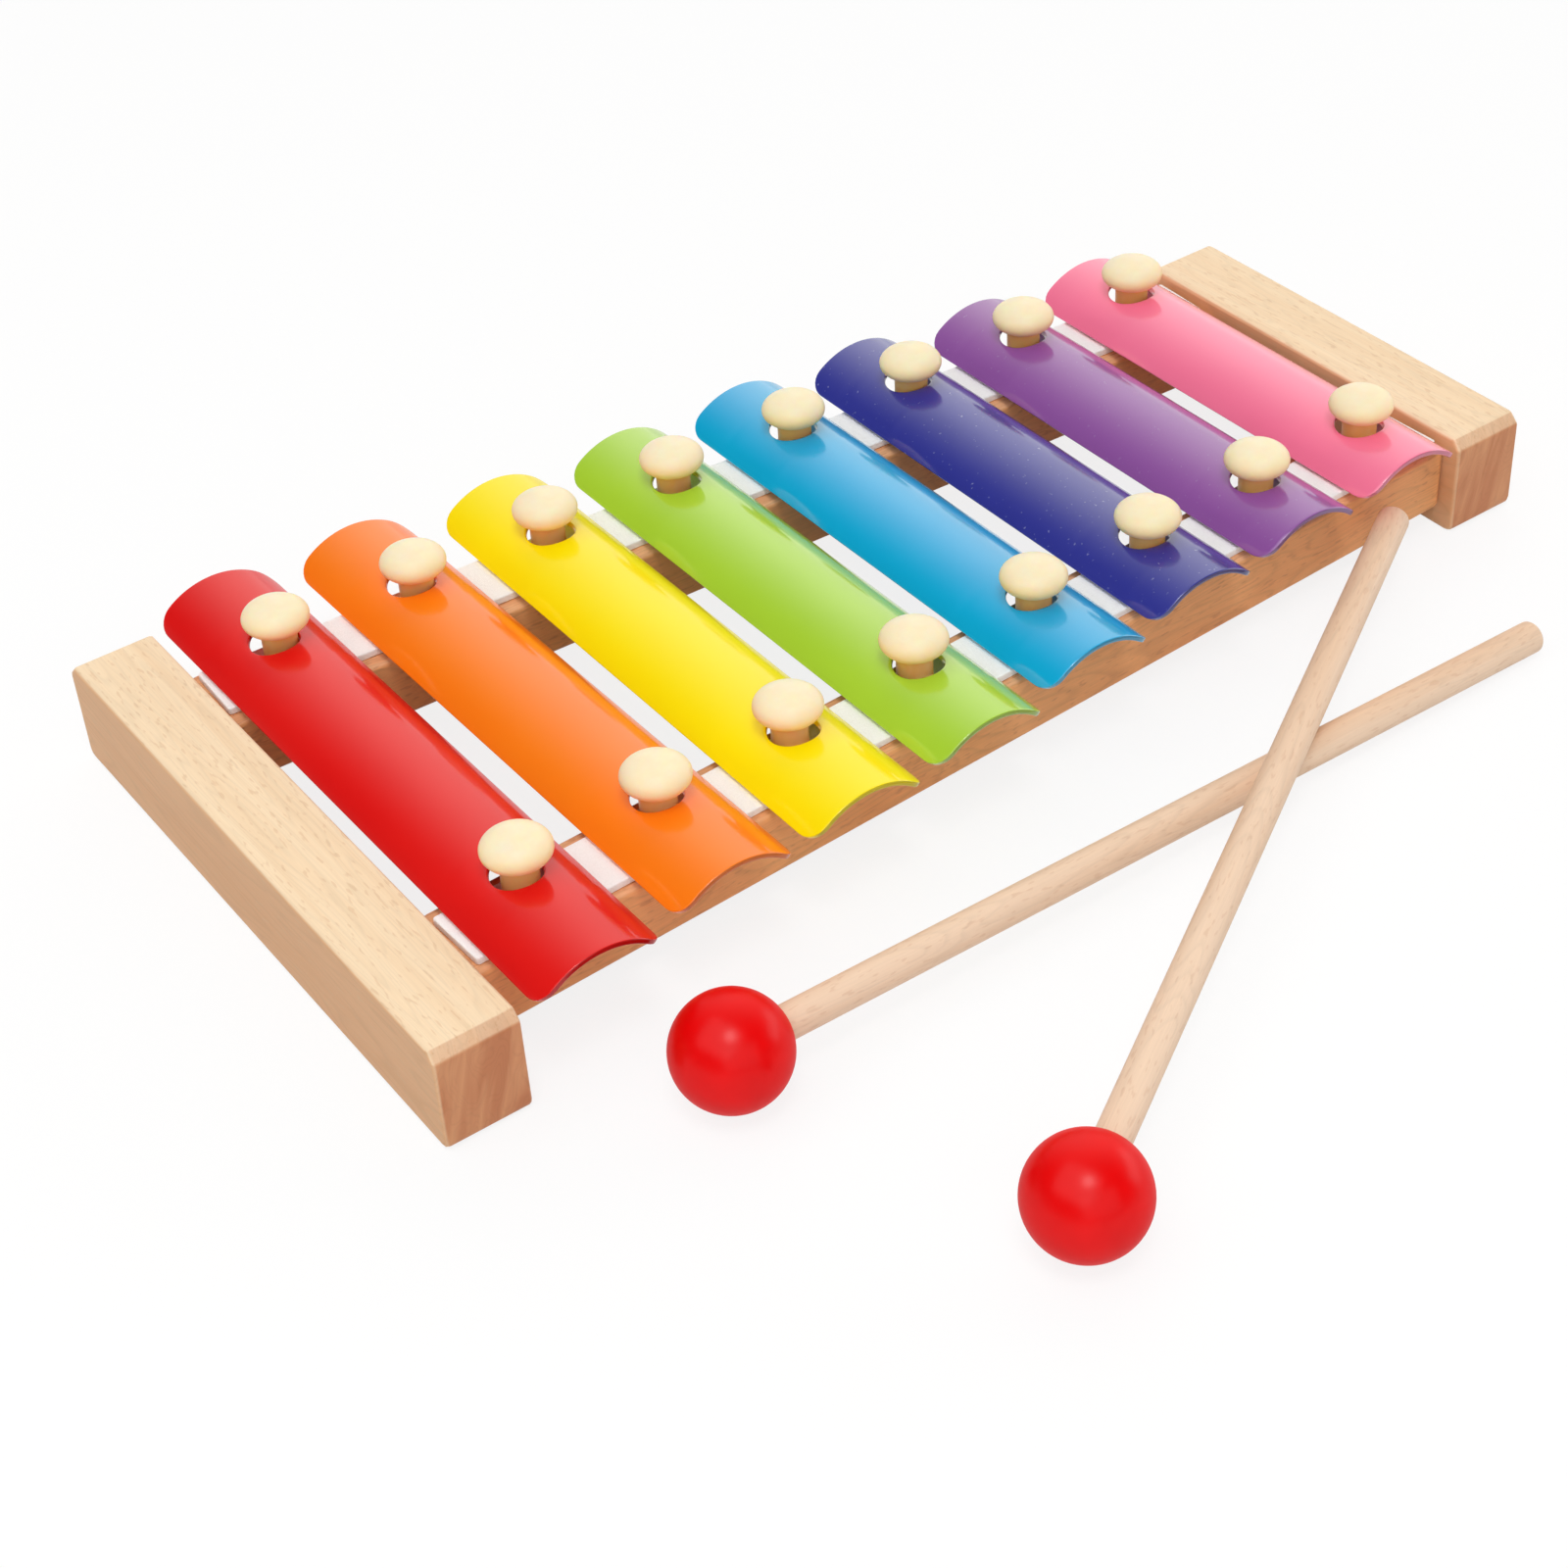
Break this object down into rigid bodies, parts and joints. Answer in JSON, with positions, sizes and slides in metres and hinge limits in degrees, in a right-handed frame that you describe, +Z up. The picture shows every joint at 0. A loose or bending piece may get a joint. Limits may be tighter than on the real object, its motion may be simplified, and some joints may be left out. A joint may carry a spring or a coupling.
{
  "type": "toy xylophone",
  "caption": "Toy xylophone: arched enamelled metal bars held by mushroom pins on converging beech rails between a wide and a narrow end block, with ball mallets beside it.",
  "frame": {"origin": "middle of the wide end block's underside, on the surface that the instrument stands on", "axes": "+X along the instrument from the wide end block to the narrow one, +Y across it to the long side away from the mallets, +Z up"},
  "size_m": [0.25, 0.2112, 0.0325],
  "materials": {
    "beech": "fine sanded beech with short dark flecks, clear matt lacquer",
    "dowel_beech": "plain turned beech",
    "stick_beech": "smooth turned beech dowel",
    "felt": "dense white felt",
    "ivory_plastic": "satin moulded ivory plastic",
    "red_lacquer": "turned wood in glossy red lacquer",
    "enamel_red": "glossy red enamel",
    "enamel_orange": "glossy orange enamel",
    "enamel_yellow": "glossy yellow enamel",
    "enamel_green": "glossy yellow-green enamel",
    "enamel_blue": "glossy sky blue enamel",
    "enamel_navy": "glossy navy enamel",
    "enamel_purple": "glossy purple enamel",
    "enamel_pink": "glossy pink enamel"
  },
  "bodies": {
    "frame": {"wide_end_block": "beech", "narrow_end_block": "beech", "front_rail": "beech", "rear_rail": "beech", "front_pad_strip": "felt", "rear_pad_strip": "felt", "front_wide_dowel": "dowel_beech", "front_narrow_dowel": "dowel_beech", "rear_wide_dowel": "dowel_beech", "rear_narrow_dowel": "dowel_beech", "front_pin_1": "ivory_plastic", "front_pin_2": "ivory_plastic", "front_pin_3": "ivory_plastic", "front_pin_4": "ivory_plastic", "front_pin_5": "ivory_plastic", "front_pin_6": "ivory_plastic", "front_pin_7": "ivory_plastic", "front_pin_8": "ivory_plastic", "rear_pin_1": "ivory_plastic", "rear_pin_2": "ivory_plastic", "rear_pin_3": "ivory_plastic", "rear_pin_4": "ivory_plastic", "rear_pin_5": "ivory_plastic", "rear_pin_6": "ivory_plastic", "rear_pin_7": "ivory_plastic", "rear_pin_8": "ivory_plastic"},
    "red_bar": {"bar_1_red": "enamel_red"},
    "orange_bar": {"bar_2_orange": "enamel_orange"},
    "yellow_bar": {"bar_3_yellow": "enamel_yellow"},
    "green_bar": {"bar_4_green": "enamel_green"},
    "blue_bar": {"bar_5_blue": "enamel_blue"},
    "navy_bar": {"bar_6_navy": "enamel_navy"},
    "purple_bar": {"bar_7_purple": "enamel_purple"},
    "pink_bar": {"bar_8_pink": "enamel_pink"},
    "lower_mallet": {"lower_mallet_ball": "red_lacquer", "lower_mallet_stick": "stick_beech"},
    "upper_mallet": {"upper_mallet_ball": "red_lacquer", "upper_mallet_stick": "stick_beech"}
  },
  "joints": [
    {"name": "red_bar_lift", "type": "slide", "parent": "frame", "child": "red_bar", "axis": [0, 0, 1], "range_m": [0, 0.0018]},
    {"name": "orange_bar_lift", "type": "slide", "parent": "frame", "child": "orange_bar", "axis": [0, 0, 1], "range_m": [0, 0.0018]},
    {"name": "yellow_bar_lift", "type": "slide", "parent": "frame", "child": "yellow_bar", "axis": [0, 0, 1], "range_m": [0, 0.0018]},
    {"name": "green_bar_lift", "type": "slide", "parent": "frame", "child": "green_bar", "axis": [0, 0, 1], "range_m": [0, 0.0018]},
    {"name": "blue_bar_lift", "type": "slide", "parent": "frame", "child": "blue_bar", "axis": [0, 0, 1], "range_m": [0, 0.0018]},
    {"name": "navy_bar_lift", "type": "slide", "parent": "frame", "child": "navy_bar", "axis": [0, 0, 1], "range_m": [0, 0.0018]},
    {"name": "purple_bar_lift", "type": "slide", "parent": "frame", "child": "purple_bar", "axis": [0, 0, 1], "range_m": [0, 0.0018]},
    {"name": "pink_bar_lift", "type": "slide", "parent": "frame", "child": "pink_bar", "axis": [0, 0, 1], "range_m": [0, 0.0018]},
    {"name": "lower_mallet_draw", "type": "slide", "parent": "frame", "child": "lower_mallet", "axis": [-0.9991, -0.0122, 0.0394], "range_m": [0, 0.07]},
    {"name": "upper_mallet_lift", "type": "slide", "parent": "frame", "child": "upper_mallet", "axis": [0, -0.6, 0.8], "range_m": [0, 0.06]}
  ]
}
